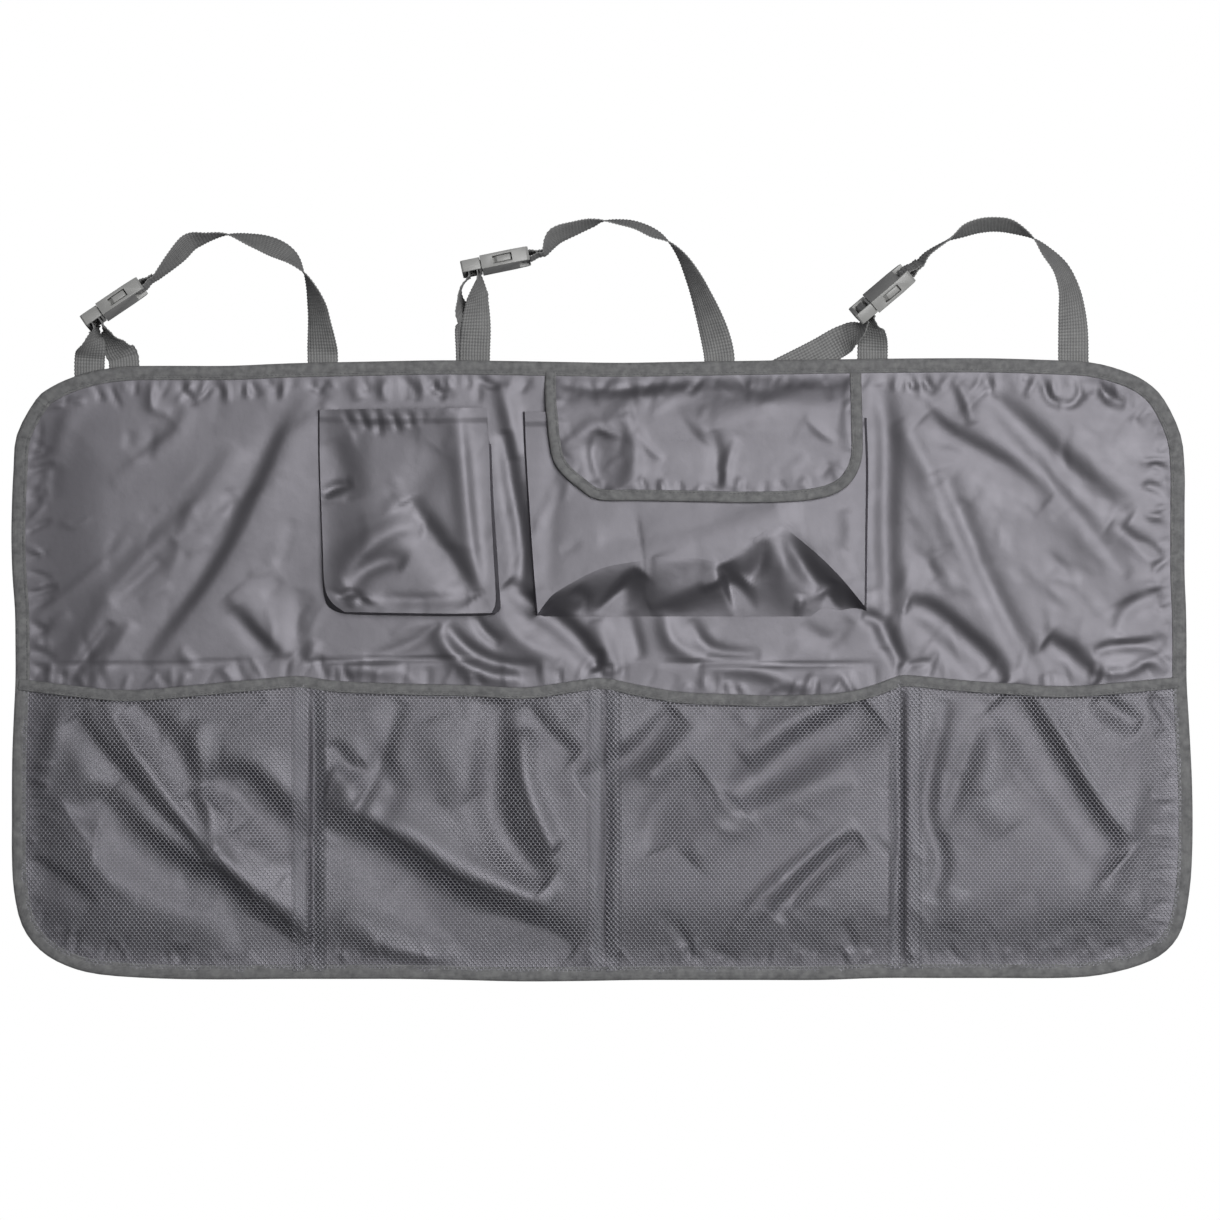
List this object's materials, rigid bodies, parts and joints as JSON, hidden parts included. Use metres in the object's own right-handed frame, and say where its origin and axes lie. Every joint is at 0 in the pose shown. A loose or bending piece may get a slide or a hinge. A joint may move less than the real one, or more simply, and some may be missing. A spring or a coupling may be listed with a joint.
{
  "type": "hanging car trunk organizer",
  "caption": "Flat grey trunk organizer laid out, with box pockets, a flapped pocket, net pockets and webbing straps with side-release buckles.",
  "frame": {"origin": "centre of the panel's back face, on the surface that the organizer lies on", "axes": "+X along the panel to the right, +Y towards the straps, +Z out of the pockets' side"},
  "size_m": [0.8986, 0.5806, 0.0347],
  "materials": {
    "coated_polyester": "satin coated weave",
    "polyester_net": "knitted open net",
    "binding_tape": "woven tape",
    "polypropylene_webbing": "ribbed webbing",
    "acetal_plastic": "moulded, satin",
    "hook_and_loop": "hook and loop pile"
  },
  "bodies": {
    "root": {"back_panel": "coated_polyester", "edge_binding": "binding_tape", "far_left_net_binding": "binding_tape", "far_right_net_binding": "binding_tape", "flap_binding": "binding_tape", "hook_patch_left": "hook_and_loop", "hook_patch_right": "hook_and_loop", "large_pocket_front": "coated_polyester", "large_pocket_gusset": "coated_polyester", "left_buckle_housing": "acetal_plastic", "left_buckle_latch": "acetal_plastic", "left_long_strap": "polypropylene_webbing", "left_net_binding": "binding_tape", "left_short_strap": "polypropylene_webbing", "loop_patch_left": "hook_and_loop", "loop_patch_right": "hook_and_loop", "mesh_net": "polyester_net", "middle_buckle_housing": "acetal_plastic", "middle_buckle_latch": "acetal_plastic", "middle_long_strap": "polypropylene_webbing", "middle_short_strap": "polypropylene_webbing", "pocket_flap": "coated_polyester", "right_buckle_housing": "acetal_plastic", "right_buckle_latch": "acetal_plastic", "right_long_strap": "polypropylene_webbing", "right_net_binding": "binding_tape", "right_short_strap": "polypropylene_webbing", "small_pocket_front": "coated_polyester", "small_pocket_gusset": "coated_polyester"}
  },
  "joints": []
}
